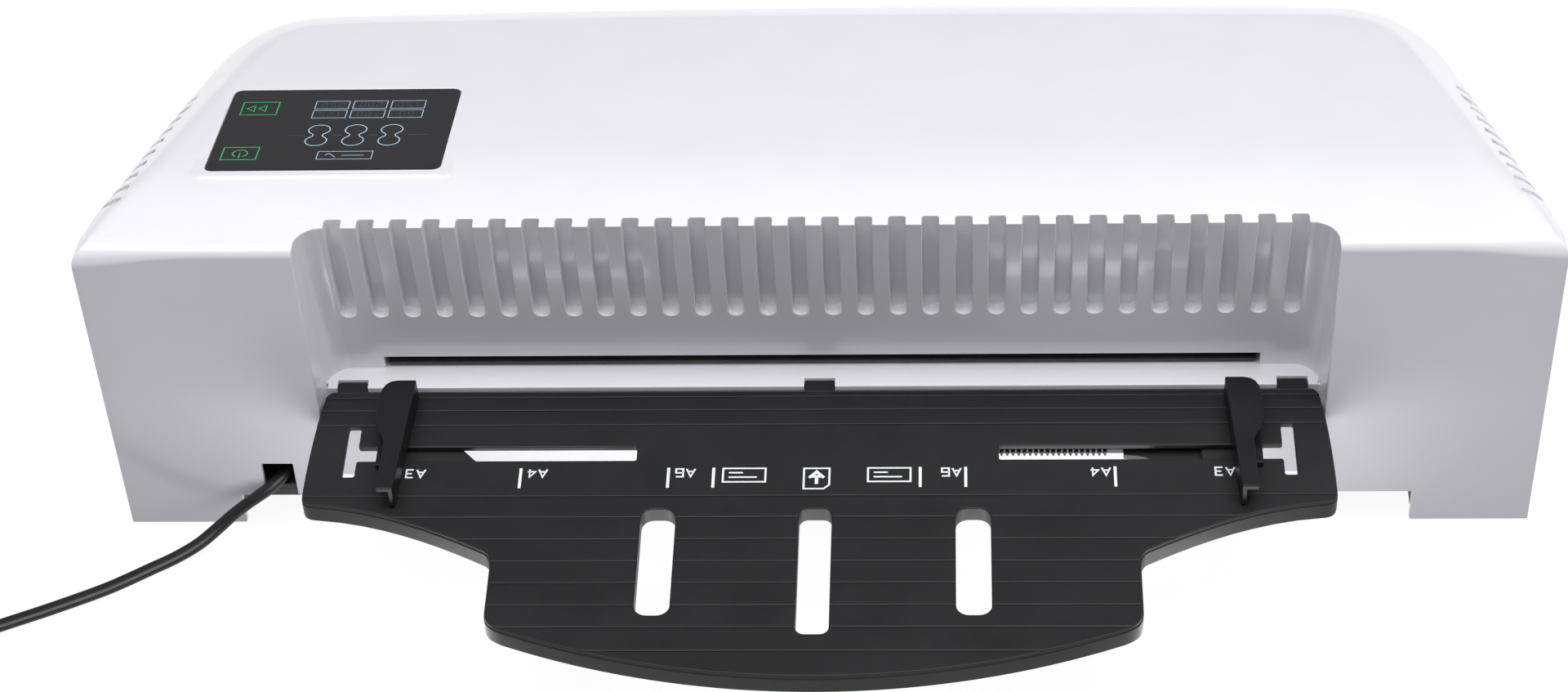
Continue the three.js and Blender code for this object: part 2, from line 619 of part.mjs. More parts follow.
// A compression spring between the frame's top flange and an upper roller shaft.
function springGeometry(x, y) {
  const low = UPPER_Z + SHAFT_RADIUS + GAP + 0.9;
  const high = 96 - GAP - 0.9;
  const turns = 4;
  const points = [];
  for (let i = 0; i <= turns * 8; i += 1) {
    const angle = (i / 8) * Math.PI * 2;
    points.push(
      new THREE.Vector3(x + 3.4 * Math.cos(angle), y + 3.4 * Math.sin(angle), low + ((high - low) * i) / (turns * 8)),
    );
  }
  const path = new THREE.CatmullRomCurve3(points);
  return new THREE.ExtrudeGeometry(circle(0, 0, 0.55), {
    steps: turns * 8, curveSegments: 3, extrudePath: path, bevelEnabled: false,
  });
}

function addPouchPath() {
  const half = FEED_SLOT_HALF + 8;
  const entry = box(-half, half, 28.5, 33.7, 57, 75).subtract(box(-FEED_SLOT_HALF, FEED_SLOT_HALF, 28, 35, 62.6, 68.2));
  addPart('entry_guide', entry, materials.heatResistant);
  addPart('heater_plate_lower', boxGeometry(-164, 164, 34, 60, 56.5, 64), materials.aluminium);
  addPart('heater_plate_upper', boxGeometry(-164, 164, 34, 60, 66.6, 74), materials.aluminium);
  addPart('thermostat', boxGeometry(-8, 8, 40, 54, 74.3, 80), materials.heatResistant);
  addPart('middle_guide_lower', boxGeometry(-164, 164, 89.5, 115.5, 60.5, 63.5), materials.heatResistant);
  addPart('middle_guide_upper', boxGeometry(-164, 164, 89.5, 115.5, 67.1, 70.1), materials.heatResistant);
  const exit = box(-half, half, 146, 189, 58, 73).subtract(box(-EXIT_SLOT_HALF, EXIT_SLOT_HALF, 145, 190, 62.4, 68.4));
  addPart('exit_guide', exit, materials.heatResistant);
}

function addBoards() {
  const control = union(
    box(-120, -10, 146, 190, 22.4, 24),
    box(-112, -92, 152, 168, 23.8, 34),
    box(-80, -66, 160, 180, 23.8, 27),
    box(-50, -28, 154, 172, 23.8, 38),
  );
  addPart('control_board', control, materials.board);
  const power = union(
    box(30, 150, 146, 190, 22.4, 24),
    box(38, 74, 152, 182, 23.8, 50),
    box(92, 108, 156, 172, 23.8, 44),
    box(124, 142, 152, 176, 23.8, 34),
  );
  addPart('power_board', power, materials.board);
}

// ---- Mains lead ----
// The stretch from the strain relief to the coil.
const leadRoute = [
  [-198, 9.7, 24.5], [-198.8, 5.6, 24.3], [-200.8, 1.8, 23.4], [-204.3, -1.3, 21.6], [-209, -3.2, 18.9],
  [-214, -4.6, 15.6], [-219, -6.4, 12.1], [-224.6, -9.4, 8.3], [-231.4, -14.1, 5], [-239.8, -19.1, 2.9],
  [-248.5, -24.2, 2.2], [-257, -29.8, 2.1], [-265.6, -35, 2.1], [-282.4, -43.5, 2.1], [-299, -51.2, 2.1],
  [-312, -57.4, 2.2], [-326, -64, 2.6], [-340, -70.3, 3],
];

function flatSection() {
  const shape = new THREE.Shape();
  shape.absellipse(0, 0, LEAD.thick / 2, LEAD.width / 2, 0, Math.PI * 2, false, 0);
  return new THREE.Shape(shape.getPoints(10).slice(0, 10));
}

function leadTube(points, steps) {
  const path = new THREE.CatmullRomCurve3(points.map((point) => new THREE.Vector3(...point)));
  return new THREE.ExtrudeGeometry(flatSection(), { steps, extrudePath: path, bevelEnabled: false });
}

// The coil's closed outer form, with a margin all round.
function coilRing(margin) {
  const inner = COIL.inner - LEAD.width / 2 - margin;
  const outer = COIL.outer + LEAD.width / 2 + margin;
  const low = COIL.z - LEAD.thick / 2 - margin;
  const high = COIL.z + COIL.layer + LEAD.thick / 2 + margin;
  const profile = [[inner, low], [outer, low], [outer, high], [inner, high], [inner, low]];
  const ring = new THREE.LatheGeometry(profile.map(([x, y]) => new THREE.Vector2(x, y)), 28);
  return ring.rotateX(Math.PI / 2).translate(COIL.x, COIL.y, 0);
}

// From the coil's outermost upper turn round to the plug at the coil's far side.
function tailRoute() {
  const { smoothstep } = THREE.MathUtils;
  const points = [];
  const steps = 12;
  for (let i = 0; i <= steps; i += 1) {
    const t = i / steps;
    const angle = -Math.PI / 2 - (t * Math.PI) / 2;
    const radius = COIL.outer + 18 * smoothstep(t, 0, 1);
    const z = COIL.z + COIL.layer - 4.4 * smoothstep(t, 0.38, 0.72) + 4.65 * smoothstep(t, 0.72, 1);
    points.push([COIL.x + radius * Math.cos(angle), COIL.y + radius * Math.sin(angle), z]);
  }
  return points;
}

function addLead() {
  const relief = new THREE.CylinderGeometry(RELIEF.tip, RELIEF.base, RELIEF.length, 14);
  relief.rotateX(Math.PI).translate(RELIEF.x, RELIEF.y + RELIEF.length / 2, RELIEF.z);
  addPart('strain_relief', relief, materials.lead);
  const clearance = solid(coilRing(GAP));
  addPart('power_cord', solid(leadTube(leadRoute, 14)).subtract(clearance), materials.lead);
  addPart('power_cord_coil', solid(coilRing(0)), materials.lead);
  const tail = tailRoute();
  addPart('power_cord_tail', solid(leadTube(tail, 12)).subtract(clearance), materials.lead);
  addTie();
  addPlug(tail.at(-1));
}

function addTie() {
  const inner = COIL.inner - LEAD.width / 2;
  const outer = COIL.outer + LEAD.width / 2;
  const low = COIL.z - LEAD.thick / 2;
  const high = COIL.z + COIL.layer + LEAD.thick / 2;
  const band = (margin) => box(
    COIL.x + inner - margin - 0.6, COIL.x + outer + margin + 0.2, COIL.y - 4, COIL.y + 4, low - margin, high + margin,
  );
  const hole = box(
    COIL.x + inner - 0.9, COIL.x + outer + 0.5, COIL.y - 5, COIL.y + 5, low - GAP, high + GAP,
  );
  addPart('cord_tie', band(1.1).subtract(hole), materials.rubber);
}

// A flat two-pin plug lying beside the coil, its pins pointing to +Y.
function addPlug([x, y, z]) {
  const half = PLUG.width / 2;
  const start = y + GAP;
  const outline = new THREE.Shape();
  outline.moveTo(-4, 0);
  outline.lineTo(4, 0);
  outline.quadraticCurveTo(5, 9, half, 13);
  outline.lineTo(half, PLUG.body);
  outline.lineTo(-half, PLUG.body);
  outline.lineTo(-half, 13);
  outline.quadraticCurveTo(-5, 9, -4, 0);
  const low = 0.2;
  let plug = solid(extrudeZ(outline, low, low + PLUG.thick, 4).translate(x, start, 0));
  for (const side of [-1, 1]) {
    const pin = new THREE.CylinderGeometry(PLUG.pinRadius, PLUG.pinRadius, PLUG.pinLength + 1, 12);
    const along = start + PLUG.body + PLUG.pinLength / 2 - 0.5;
    plug = plug.add(solid(pin.translate(x + (side * PLUG.pinSpacing) / 2, along, low + PLUG.thick / 2)));
  }
  addPart('mains_plug', plug, materials.lead);
}

addCasing();
addBase();
addDisplay();
addTray();
addRackAndPinion();
addRollers();
addDrive();
addFrames();
addPouchPath();
addBoards();
addLead();

export default assembly;
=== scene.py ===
"""A wide pouch laminator on a pale table: looks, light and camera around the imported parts. Metres, +Z up."""
import json
import math

import bmesh
import bpy
import numpy as np
from mathutils import Matrix, Vector


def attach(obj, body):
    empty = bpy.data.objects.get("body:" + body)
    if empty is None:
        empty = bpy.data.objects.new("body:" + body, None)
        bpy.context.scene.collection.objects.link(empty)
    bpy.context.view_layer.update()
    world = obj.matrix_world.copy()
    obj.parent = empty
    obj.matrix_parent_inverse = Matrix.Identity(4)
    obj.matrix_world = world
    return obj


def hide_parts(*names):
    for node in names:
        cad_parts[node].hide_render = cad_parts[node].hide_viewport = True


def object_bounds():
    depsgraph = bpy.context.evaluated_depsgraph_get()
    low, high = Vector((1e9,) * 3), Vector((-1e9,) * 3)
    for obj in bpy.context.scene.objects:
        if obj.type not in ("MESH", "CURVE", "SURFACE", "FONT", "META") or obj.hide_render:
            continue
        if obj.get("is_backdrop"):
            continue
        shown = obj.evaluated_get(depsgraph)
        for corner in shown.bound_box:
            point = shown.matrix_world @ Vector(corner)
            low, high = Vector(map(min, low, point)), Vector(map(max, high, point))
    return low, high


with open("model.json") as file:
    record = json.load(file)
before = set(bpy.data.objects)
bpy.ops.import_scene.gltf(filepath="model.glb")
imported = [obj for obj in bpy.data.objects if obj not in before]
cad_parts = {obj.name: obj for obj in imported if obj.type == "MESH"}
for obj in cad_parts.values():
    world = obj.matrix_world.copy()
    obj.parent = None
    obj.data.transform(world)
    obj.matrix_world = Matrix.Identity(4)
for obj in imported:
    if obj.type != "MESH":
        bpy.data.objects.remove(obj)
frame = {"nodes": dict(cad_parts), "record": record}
cad_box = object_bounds()

MM = 0.001
SHIFT_Y = -37.0  # the drawing's y = 0 is the feed side's front face
TOP_SLOPE = 0.277
SLOPE_ANGLE = math.atan(TOP_SLOPE)


# ---- Camera ----
CAMERA_PLACE = (0.04813, -0.93004, 0.97102)
CAMERA_ANGLES = (44.465, -3.814, -2.952)  # pitch down, yaw and roll, in degrees
CAMERA_LENS = 81.47
SENSOR_WIDTH = 36


def make_camera():
    pitch, yaw, roll = (math.radians(angle) for angle in CAMERA_ANGLES)
    level = math.cos(pitch)
    forward = Vector((math.sin(yaw) * level, math.cos(yaw) * level, -math.sin(pitch)))
    right = Vector((math.cos(yaw), -math.sin(yaw), 0))
    up = right.cross(forward)
    tilted_right = right * math.cos(roll) + up * math.sin(roll)
    tilted_up = up * math.cos(roll) - right * math.sin(roll)
    data = bpy.data.cameras.new("camera")
    data.lens = CAMERA_LENS
    data.sensor_width = SENSOR_WIDTH
    data.clip_start = 0.01
    camera = bpy.data.objects.new("camera", data)
    bpy.context.scene.collection.objects.link(camera)
    turn = Matrix((tilted_right, tilted_up, -forward)).transposed()
    camera.matrix_world = Matrix.Translation(CAMERA_PLACE) @ turn.to_4x4()
    bpy.context.scene.camera = camera


make_camera()


# ---- Materials ----
class Surface:
    """A procedural material: colour, roughness and bump each vary by noise at their own scale."""

    COLOR_SCALE = 35
    ROUGH_SCALE = 60
    NOISE_LOW, NOISE_HIGH = 0.3, 0.7

    def __init__(self, name, color, rough, spread=0.04, metallic=0.0, **sockets):
        self.material = bpy.data.materials.new(name)
        self.material.use_nodes = True
        self.nodes = self.material.node_tree.nodes
        self.links = self.material.node_tree.links
        self.shader = self.nodes["Principled BSDF"]
        self.position = self.nodes.new("ShaderNodeTexCoord").outputs["Object"]
        self.shader.inputs["Metallic"].default_value = metallic
        for socket, value in sockets.items():
            self.shader.inputs[socket.replace("_", " ")].default_value = value
        self.height = None
        self.color_noise(color, spread)
        self.rough_noise(rough)

    def noise(self, scale, detail, stretch=None):
        node = self.nodes.new("ShaderNodeTexNoise")
        node.inputs["Scale"].default_value = scale
        node.inputs["Detail"].default_value = detail
        source = self.position
        if stretch:
            mapping = self.nodes.new("ShaderNodeMapping")
            mapping.inputs["Scale"].default_value = stretch
            self.links.new(source, mapping.inputs["Vector"])
            source = mapping.outputs["Vector"]
        self.links.new(source, node.inputs["Vector"])
        return node.outputs["Fac"]

    def color_noise(self, color, spread):
        ramp = self.nodes.new("ShaderNodeValToRGB")
        low, high = ramp.color_ramp.elements
        low.position, high.position = self.NOISE_LOW, self.NOISE_HIGH
        low.color = (*[c * (1 - spread) for c in color], 1)
        high.color = (*[min(1, c * (1 + spread)) for c in color], 1)
        self.links.new(self.noise(self.COLOR_SCALE, 3), ramp.inputs["Fac"])
        self.links.new(ramp.outputs["Color"], self.shader.inputs["Base Color"])

    def rough_noise(self, rough):
        low, high = rough
        reach = self.nodes.new("ShaderNodeMapRange")
        reach.inputs["From Min"].default_value = self.NOISE_LOW
        reach.inputs["From Max"].default_value = self.NOISE_HIGH
        reach.inputs["To Min"].default_value = low
        reach.inputs["To Max"].default_value = high
        self.links.new(self.noise(self.ROUGH_SCALE, 5), reach.inputs["Value"])
        self.links.new(reach.outputs["Result"], self.shader.inputs["Roughness"])

    def bump(self, scale, strength, distance=0.0001, stretch=None):
        node = self.nodes.new("ShaderNodeBump")
        node.inputs["Strength"].default_value = strength
        node.inputs["Distance"].default_value = distance
        self.links.new(self.noise(scale, 2, stretch), node.inputs["Height"])
        if self.height:
            self.links.new(self.height, node.inputs["Normal"])
        self.height = node.outputs["Normal"]
        self.links.new(self.height, self.shader.inputs["Normal"])
        return self


def make_materials():
    casing = Surface(
        "moulded_white", (0.83, 0.825, 0.87), (0.2, 0.27), 0.012, Coat_Weight=0.35
    )
    casing.shader.inputs["Coat Roughness"].default_value = 0.08
    casing.bump(900, 0.05).bump(14, 0.02, 0.0006)
    tray = Surface(
        "satin_black", (0.0105, 0.0108, 0.0115), (0.42, 0.52), 0.12, Specular_IOR_Level=0.36
    )
    tray.bump(2600, 0.35, 0.00006).bump(420, 0.08)
    guide = Surface(
        "guide_black", (0.0075, 0.0078, 0.0085), (0.34, 0.44), 0.1, Specular_IOR_Level=0.32
    )
    guide.bump(1800, 0.2, 0.00005)
    rack = Surface("rack_black", (0.012, 0.012, 0.0125), (0.4, 0.5), 0.1).bump(1500, 0.15)
    window = Surface(
        "window_black", (0.009, 0.009, 0.0105), (0.05, 0.08), 0.1, Coat_Weight=1.0
    )
    window.bump(8, 0.01, 0.0004)
    base = Surface("base_dark", (0.045, 0.046, 0.05), (0.5, 0.62), 0.1).bump(1200, 0.4)
    foot = Surface("foot_rubber", (0.022, 0.022, 0.022), (0.75, 0.88), 0.15).bump(900, 0.3)
    board = Surface("board_green", (0.018, 0.11, 0.045), (0.3, 0.42), 0.12).bump(300, 0.15)
    silicone = Surface("silicone_red", (0.36, 0.075, 0.035), (0.5, 0.6), 0.06).bump(500, 0.2)
    steel = Surface("ground_steel", (0.6, 0.6, 0.61), (0.22, 0.34), 0.05, 1.0)
    steel.bump(700, 0.1, stretch=(0.05, 1, 1))
    sheet = Surface("plated_sheet", (0.55, 0.56, 0.58), (0.3, 0.45), 0.08, 1.0).bump(60, 0.1)
    brass = Surface("sintered_bush", (0.58, 0.38, 0.16), (0.35, 0.5), 0.1, 1.0).bump(1400, 0.3)
    plate = Surface("anodised_plate", (0.7, 0.7, 0.71), (0.32, 0.42), 0.04, 1.0)
    plate.bump(400, 0.15, stretch=(0.04, 1, 1))
    heat = Surface("glass_filled", (0.04, 0.036, 0.034), (0.5, 0.6), 0.2).bump(1100, 0.3)
    gear = Surface("acetal", (0.72, 0.69, 0.6), (0.36, 0.46), 0.04).bump(500, 0.1)
    lead = Surface("lead_vinyl", (0.012, 0.0125, 0.013), (0.32, 0.42), 0.15).bump(900, 0.15)
    green = Surface("ink_green", (0.02, 0.42, 0.12), (0.3, 0.4), 0.1)
    blue = Surface("ink_pale_blue", (0.42, 0.6, 0.72), (0.3, 0.4), 0.06)
    faint = Surface("ink_grey", (0.05, 0.06, 0.07), (0.3, 0.4), 0.1)
    white = Surface("ink_white", (0.78, 0.8, 0.84), (0.45, 0.55), 0.03)
    for ink, glow in ((green, (0.02, 0.5, 0.12, 1)), (blue, (0.4, 0.62, 0.75, 1))):
        ink.shader.inputs["Emission Color"].default_value = glow
        ink.shader.inputs["Emission Strength"].default_value = 0.25
    made = locals()
    return {name: item.material for name, item in made.items() if isinstance(item, Surface)}


paint = make_materials()
SLOT_PAINT = {
    "casing_white": "casing", "base_dark": "base", "foot_rubber": "foot",
    "display_black": "window", "circuit_board": "board", "tray_black": "tray",
    "guide_black": "guide", "rack_black": "rack", "gear_plastic": "gear",
    "roller_silicone": "silicone", "shaft_steel": "steel", "bush_brass": "brass",
    "frame_steel": "sheet", "spring_steel": "steel", "motor_steel": "sheet",
    "heater_aluminium": "plate", "guide_heat_resistant": "heat", "lead_black": "lead",
    "tie_black": "rack", "plug_black": "lead",
}
node_slot = {part["node"]: part["material_slot"] for part in frame["record"]["subparts"]}
bodies = frame["record"]["behaviour"]["bodies"]
node_body = {node: body for body, nodes in bodies.items() for node in nodes}


# ---- Mesh helpers ----
WELD = 1e-7
SHARP_ANGLE = math.radians(32)
SHORTEST_BEVELLED = 2e-5


def new_object(name, mesh, material, body, slot, smooth_angle=35):
    obj = bpy.data.objects.new(name, mesh)
    bpy.context.scene.collection.objects.link(obj)
    mesh.materials.clear()
    mesh.materials.append(paint[material])
    mesh.polygons.foreach_set("use_smooth", [True] * len(mesh.polygons))
    mesh.set_sharp_from_angle(angle=math.radians(smooth_angle))
    weighted = obj.modifiers.new("weighted", "WEIGHTED_NORMAL")
    weighted.keep_sharp = True
    weighted.weight = 80
    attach(obj, body)
    return obj


def stand_for(obj, *nodes):
    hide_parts(*nodes)
    return obj


def side_faces(n, first, second):
    """Quads between two rings of n points that start at the given indices."""
    return [(first + i, first + (i + 1) % n, second + (i + 1) % n, second + i) for i in range(n)]


def end_faces(n, total):
    return [tuple(reversed(range(n))), tuple(range(total - n, total))]


def mesh_from(points, faces):
    mesh = bpy.data.meshes.new("mesh")
    mesh.from_pydata([tuple(p) for p in points], [], faces)
    mesh.validate()
    bm = bmesh.new()
    bm.from_mesh(mesh)
    bmesh.ops.remove_doubles(bm, verts=bm.verts, dist=WELD)
    bmesh.ops.recalc_face_normals(bm, faces=bm.faces)
    bm.to_mesh(mesh)
    bm.free()
    return mesh


def bevel_sharp(mesh, width, segments=2, keep=None):
    bm = bmesh.new()
    bm.from_mesh(mesh)
    edges = [
        e for e in bm.edges
        if len(e.link_faces) == 2 and e.calc_face_angle(0) > SHARP_ANGLE
        and e.calc_length() > SHORTEST_BEVELLED and (keep is None or keep(e))
    ]
    bmesh.ops.bevel(
        bm, geom=edges, offset=width, segments=segments, profile=0.5, affect="EDGES",
        clamp_overlap=False, offset_type="OFFSET",
    )
    bm.to_mesh(mesh)
    bm.free()
    return mesh


def refined(node, bevel, segments=2):
    """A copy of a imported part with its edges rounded, standing for that part."""
    mesh = frame["nodes"][node].data.copy()
    bm = bmesh.new()
    bm.from_mesh(mesh)
    bmesh.ops.remove_doubles(bm, verts=bm.verts, dist=2e-7)
    bmesh.ops.dissolve_limit(bm, angle_limit=math.radians(1), verts=bm.verts, edges=bm.edges)
    bm.to_mesh(mesh)
    bm.free()
    bevel_sharp(mesh, bevel, segments)
    slot = node_slot[node]
    obj = new_object(f"{node}_finished", mesh, SLOT_PAINT[slot], node_body[node], slot)
    return stand_for(obj, node)


def boolean(mesh, tool, operation):
    target = bpy.data.objects.new("target", mesh)
    cutter = bpy.data.objects.new("cutter", tool)
    for obj in (target, cutter):
        bpy.context.scene.collection.objects.link(obj)
    modifier = target.modifiers.new("cut", "BOOLEAN")
    modifier.operation = operation
    modifier.solver = "EXACT"
    modifier.object = cutter
    graph = bpy.context.evaluated_depsgraph_get()
    result = bpy.data.meshes.new_from_object(target.evaluated_get(graph))
    bpy.data.objects.remove(target)
    bpy.data.objects.remove(cutter)
    return result


def prism(loop, low, high):
    """A closed prism over a plan loop of (x, y) in millimetres, from low to high."""
    n = len(loop)
    points = [(x * MM, (y + SHIFT_Y) * MM, z * MM) for z in (low, high) for x, y in loop]
    return mesh_from(points, end_faces(n, 2 * n) + side_faces(n, 0, n))


def block(x0, x1, y0, y1, z0, z1):
    return prism([(x0, y0), (x1, y0), (x1, y1), (x0, y1)], z0, z1)


def joined(meshes):
    bm = bmesh.new()
    for mesh in meshes:
        bm.from_mesh(mesh)
    result = bpy.data.meshes.new("joined")
    bm.to_mesh(result)
    bm.free()
    return result


def sweep(path, profile):
    """A closed tube: profile is (across, up) offsets, carried along path, up side up."""
    points, faces = [], []
    n = len(profile)
    path = [Vector(p) for p in path]
    for i, p in enumerate(path):
        along = (path[min(i + 1, len(path) - 1)] - path[max(i - 1, 0)]).normalized()
        across = along.cross(Vector((0, 0, 1))).normalized()
        up = across.cross(along)
        points += [p + across * a + up * b for a, b in profile]
    for i in range(len(path) - 1):
        faces += side_faces(n, i * n, (i + 1) * n)
    return mesh_from(points, faces + end_faces(n, len(points)))


def catmull(points, per_span):
    points = [Vector(p) for p in points]
    full = [points[0] * 2 - points[1], *points, points[-1] * 2 - points[-2]]
    line = []
    for a, b, c, d in zip(full, full[1:], full[2:], full[3:]):
        for k in range(per_span):
            t = k / per_span
            square = (2 * a - 5 * b + 4 * c - d) * t**2
            cube = (3 * b - a - 3 * c + d) * t**3
            line.append(0.5 * (2 * b + (c - a) * t + square + cube))
    return [*line, points[-1]]


# ---- Mains lead ----
LEAD_WIDTH = 5.6
LEAD_ROUTE = [
    (-198, 9.7, 24.5), (-198.8, 5.6, 24.3), (-200.8, 1.8, 23.4), (-204.3, -1.3, 21.6),
    (-209, -3.2, 18.9), (-214, -4.6, 15.6), (-219, -6.4, 12.1), (-224.6, -9.4, 8.3),
    (-231.4, -14.1, 5), (-239.8, -19.1, 2.9), (-248.5, -24.2, 2.2), (-257, -29.8, 2.1),
    (-265.6, -35, 2.1), (-282.4, -43.5, 2.1), (-299, -51.2, 2.1), (-312, -57.4, 2.2),
    (-326, -64, 2.6), (-340, -70.3, 3),
]
COIL_CENTRE = (-356.85, -32.4)
COIL_OUTER = 41.5
COIL_PITCH = LEAD_WIDTH
COIL_Z = 3.0
COIL_LAYER = 3.8
TURNS = 4
START_ANGLE = math.radians(-66)


def smooth(t):
    t = min(1.0, max(0.0, t))
    return t * t * (3 - 2 * t)


def on_coil(angle, radius, z):
    across, along = radius * math.cos(angle), radius * math.sin(angle)
    return (COIL_CENTRE[0] + across, COIL_CENTRE[1] + along, z)


def coil_points():
    """Four turns inward along the table, then four turns outward on top of them."""
    points = []
    per_turn = 36
    tail = (math.radians(-90) - START_ANGLE) / (-2 * math.pi)
    for i in range(1, TURNS * per_turn + 1):
        turn = i / per_turn
        climb = COIL_LAYER * smooth((turn - 3.6) / 0.4)
        points.append((turn, COIL_OUTER - COIL_PITCH * turn, COIL_Z + climb))
    end = TURNS + tail
    for i in range(1, TURNS * per_turn + 1):
        share = i / (TURNS * per_turn)
        radius = COIL_OUTER - COIL_PITCH * TURNS * (1 - share)
        points.append((TURNS + end * share, radius, COIL_Z + COIL_LAYER))
    return [on_coil(START_ANGLE - 2 * math.pi * turn, radius, z) for turn, radius, z in points]


def tail_points():
    """From the outermost upper turn, out and down to the plug."""
    route = []
    for i in range(1, 17):
        t = i / 16
        angle = math.radians(-90 - 90 * t)
        radius = COIL_OUTER + 18 * smooth(t)
        z = 6.8 - 4.4 * smooth((t - 0.38) / 0.34) + 4.65 * smooth((t - 0.72) / 0.28)
        route.append(on_coil(angle, radius, z))
    return route


def lead_profile():
    """Two round cores side by side under one jacket."""
    profile = []
    for i in range(20):
        angle = 2 * math.pi * i / 20
        across, up = LEAD_WIDTH / 2 * math.cos(angle), 1.8 * math.sin(angle)
        waist = 1 - 0.12 * math.exp(-((across / 0.7) ** 2))
        profile.append((across * MM, up * waist * MM))
    return profile


def place(point):
    return Vector((point[0] * MM, (point[1] + SHIFT_Y) * MM, point[2] * MM))


def make_lead():
    front = catmull([place(p) for p in LEAD_ROUTE], 6)
    path = front + [place(p) for p in coil_points() + tail_points()]
    tube = sweep(path, lead_profile())
    lead = new_object("mains_lead", tube, "lead", "machine", "lead_black", 60)
    stand_for(lead, "power_cord", "power_cord_coil", "power_cord_tail")
    plug, tie = refined("mains_plug", 0.0012, segments=3), refined("cord_tie", 0.0004)
    make_relief()


def make_relief():
    """The tapered sleeve where the lead leaves the casing, with moulded rings."""
    rings = []
    for i in range(49):
        t = i / 48
        ringed = 0.08 < t < 0.85
        groove = 0.45 * max(0.0, math.sin(t * math.pi * 12)) ** 2 if ringed else 0
        rings.append((10 + 24 * t, 3.2 + 1.0 * t - groove))
    points, faces = [], []
    sides = 24
    for y, radius in rings:
        for j in range(sides):
            angle = 2 * math.pi * j / sides
            points.append(place((-198 + radius * math.cos(angle), y, 24.5 + radius * math.sin(angle))))
    for i in range(len(rings) - 1):
        faces += side_faces(sides, i * sides, (i + 1) * sides)
    mesh = mesh_from(points, faces + end_faces(sides, len(points)))
    relief = new_object("relief_sleeve", mesh, "lead", "machine", "lead_black", 40)
    return stand_for(relief, "strain_relief")


make_lead()


# ---- Floor and light ----
FLOOR_REACH = 6
FLOOR_GLOW = 0.93


def make_floor():
    """A pale table that shows white but casts no light on the machine."""
    r = FLOOR_REACH
    mesh = mesh_from([(-r, -r, 0), (r, -r, 0), (r, r, 0), (-r, r, 0)], [(0, 1, 2, 3)])
    floor = bpy.data.objects.new("floor", mesh)
    bpy.context.scene.collection.objects.link(floor)
    surface = Surface("pale_floor", (0.14, 0.14, 0.14), (0.6, 0.7), 0.004)
    surface.shader.inputs["Emission Color"].default_value = (1, 1, 1, 1)
    surface.shader.inputs["Emission Strength"].default_value = FLOOR_GLOW
    mesh.materials.append(surface.material)
    floor.visible_diffuse = False
    floor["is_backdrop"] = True


def area_light(name, location, target, size, power):
    data = bpy.data.lights.new(name, "AREA")
    data.shape = "RECTANGLE"
    data.size, data.size_y = size
    data.energy = power
    light = bpy.data.objects.new(name, data)
    bpy.context.scene.collection.objects.link(light)
    light.location = location
    aim = Vector(target) - Vector(location)
    light.rotation_euler = aim.to_track_quat("-Z", "Y").to_euler()


def make_light():
    world = bpy.data.worlds.new("studio")
    world.use_nodes = True
    background = world.node_tree.nodes["Background"]
    background.inputs["Color"].default_value = (0.93, 0.93, 1.0, 1)
    background.inputs["Strength"].default_value = 0.18
    bpy.context.scene.world = world
    area_light("sky_panel", (0.1, -0.25, 1.9), (0, 0, 0), (2.4, 1.5), 47)
    area_light("front_panel", (0.2, -1.7, 0.22), (0, 0, 0.03), (1.7, 0.4), 0.9)
    area_light("bounce_card", (0, -0.1, 0.004), (0, -0.06, 0.1), (0.34, 0.1), 0.34)
    area_light("right_panel", (1.7, -0.7, 0.8), (0, 0, 0.06), (0.9, 1.2), 5.0)
    bpy.context.scene.view_settings.view_transform = "Standard"


make_floor()
make_light()


# ---- Casing ----
BODY_HEIGHT = 140.0
GROOVES = 30
GROOVE_PITCH = 11.6
GROOVE_WIDTH = 5.8
GROOVE_DEPTH = 4.5
WALL_LEAN = 0.117
WINDOW_X, WINDOW_Y, WINDOW_WIDTH, WINDOW_LENGTH = -176.1, 78.0, 84.3, 67.3


def top_height(y):
    if y <= 10:
        return BODY_HEIGHT
    if y <= 60:
        return BODY_HEIGHT - TOP_SLOPE * (y - 10) ** 2 / 100
    return BODY_HEIGHT - TOP_SLOPE * (y - 35)


def wall_y(z):
    """The recess's leaning back wall."""
    return 20.6 - WALL_LEAN * (z - 62)


def half_outline():
    """The plan's right half, from the front's middle to the far side's middle.

    Each row is x, y, the inward direction and the edge radius.
    """
    rows = [(x, 0.0, 0.0, 1.0, 4.0) for x in (0, 58, 116, 174, 190, 200, 210, 220)]
    rows += [(x, 0.0, 0.0, 1.0, 4.0 + 4.0 * smooth((x - 220) / 39)) for x in (230, 240, 249)]
    rows.append((259.0, 0.0, -1.0, 1.0, 8.0))
    flank = (10, 24, 33.3, 42.5, 51.7, 60.9, 70.1, 79.3, 88.5, 97.7, 106.9, 118, 132)
    side = [(259 - max(0, y - 8) * 19 / 138, y) for y in flank]
    corner = [(240, 146), (235.5, 178), (220, 195), (190, 196)]
    for i in range(21):
        t = i / 20
        weights = ((1 - t) ** 3, 3 * t * (1 - t) ** 2, 3 * t * t * (1 - t), t**3)
        side.append(tuple(sum(w * p[k] for w, p in zip(weights, corner)) for k in (0, 1)))
    for x in (174, 116, 58, 0):
        t = 1 - x / 190
        side.append((x, 196 * (1 - t) ** 2 + 400 * t * (1 - t) + 200 * t * t))
    for i, (x, y) in enumerate(side):
        before = side[i - 1] if i else (259, 0)
        after = side[i + 1] if i + 1 < len(side) else (-58, side[-2][1])
        along = Vector((after[0] - before[0], after[1] - before[1])).normalized()
        radius = 8 + 12 * smooth(y / 60) + 8 * smooth((y - 60) / 120)
        rows.append((x, y, -along.y, along.x, radius))
    return rows


FRONT_POINTS = 11  # index of the front corner in half_outline
FAR_POINTS = 11  # points from the far corner to the far side's middle
ROUND_STEPS = 9


